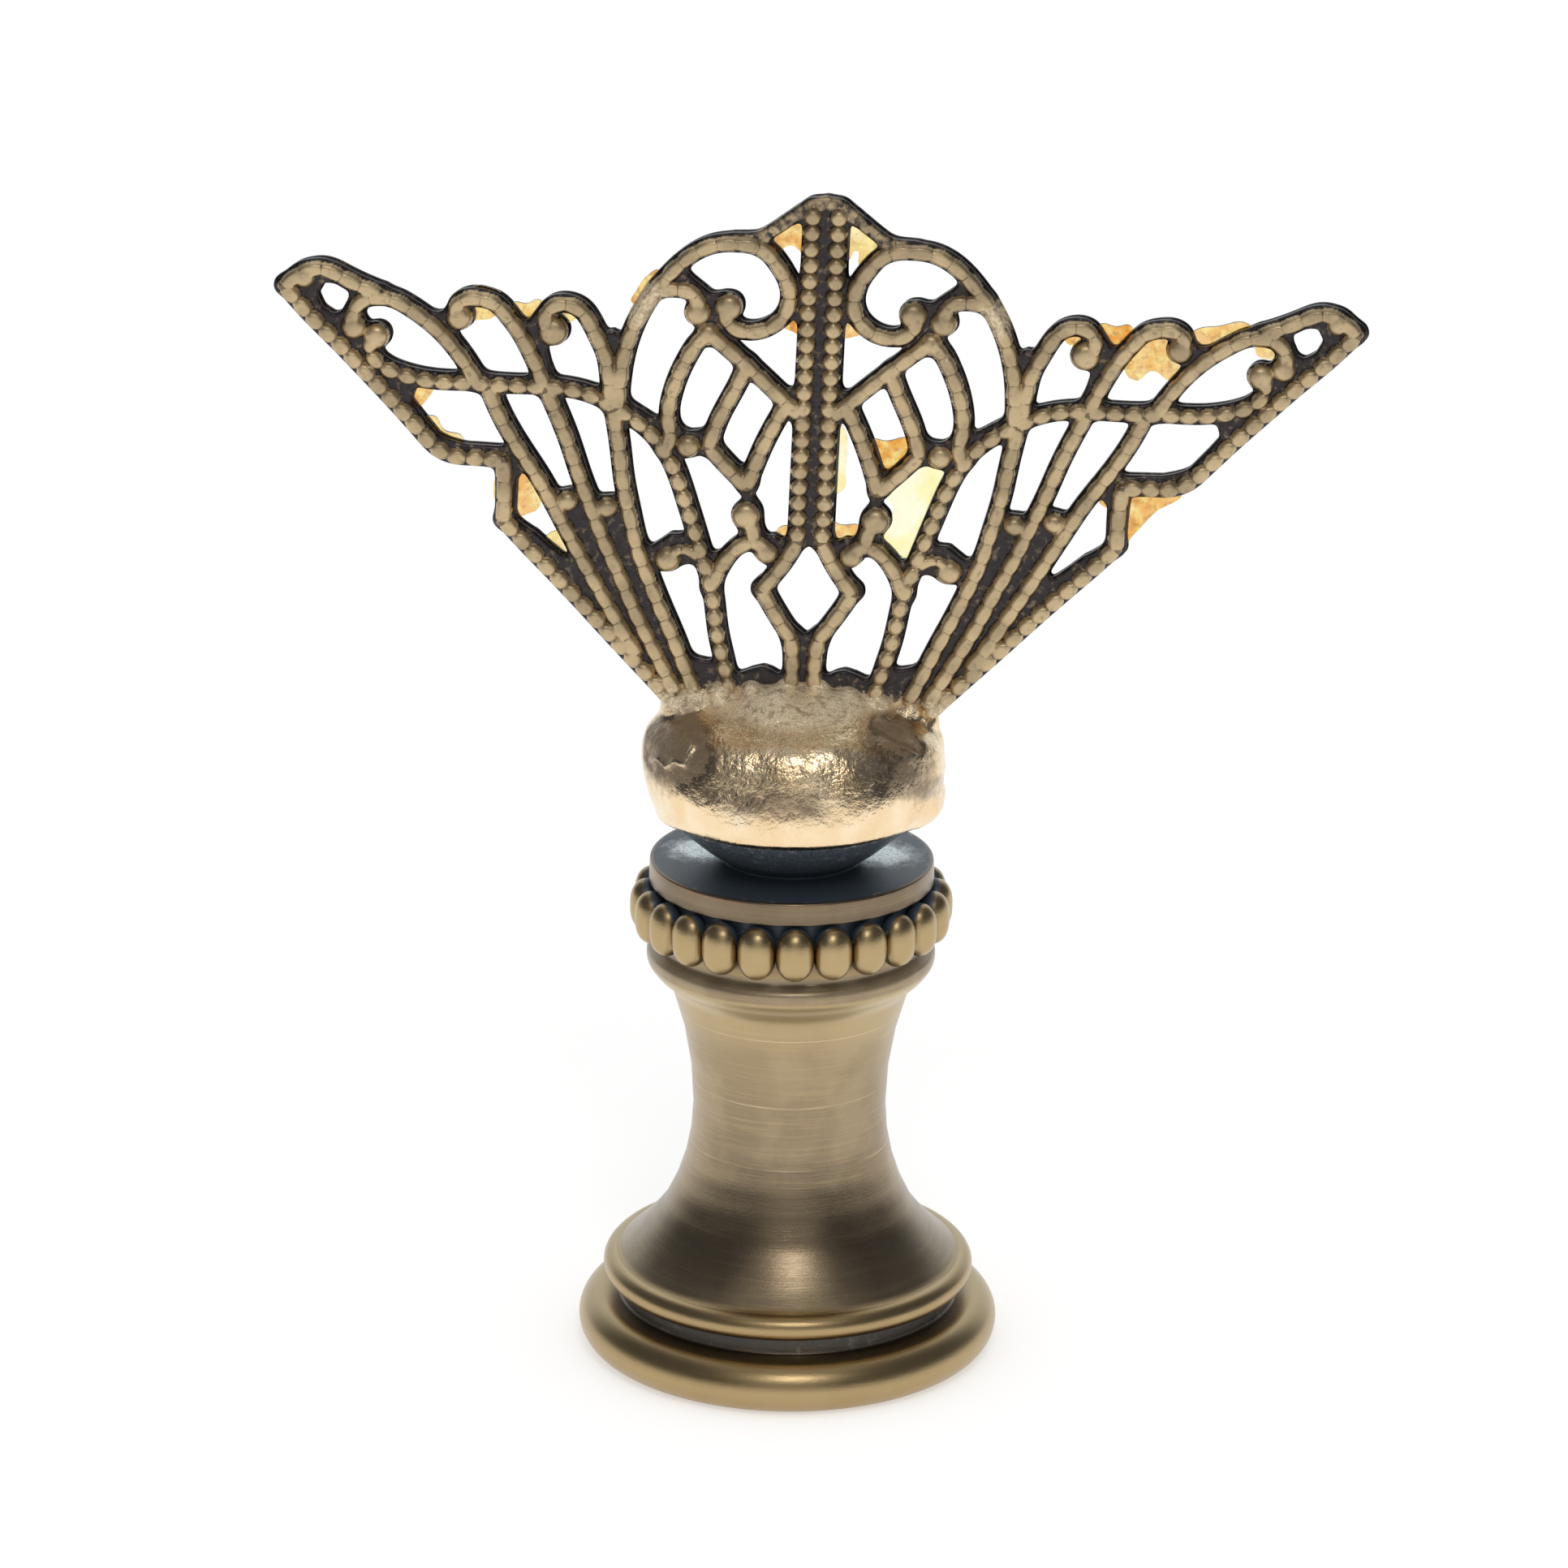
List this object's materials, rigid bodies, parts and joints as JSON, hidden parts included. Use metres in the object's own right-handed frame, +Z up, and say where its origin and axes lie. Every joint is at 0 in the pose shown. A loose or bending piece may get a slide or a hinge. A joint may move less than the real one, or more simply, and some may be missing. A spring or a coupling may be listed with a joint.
{
  "type": "lamp finial",
  "caption": "Lamp finial: turned brass pedestal with beaded collar, gilded moulded knob and flat openwork fan of two stamped sheets; screws on a harp.",
  "frame": {"origin": "centre of the seating face under the foot, on the thread's axis", "axes": "+Z up along the thread's axis, +X to the right across the ornament seen from its front, which looks along -Y"},
  "size_m": [0.051, 0.0204, 0.0576],
  "materials": {
    "antique_brass": "brushed antique brass with dark patina in the recesses",
    "plain_brass": "plain cut thread",
    "gilding": "rough gold leaf paint over moulded filler",
    "front_brass": "worn olive-tan brass over a blackened ground",
    "back_brass": "worn brass over a blackened ground",
    "amber_glue": "hard amber glue, clear, thin"
  },
  "bodies": {
    "root": {"pedestal_base": "antique_brass", "threaded_stud": "plain_brass", "gilt_knob": "gilding", "front_filigree": "front_brass", "back_filigree": "back_brass", "resin_webs": "amber_glue"}
  },
  "joints": []
}
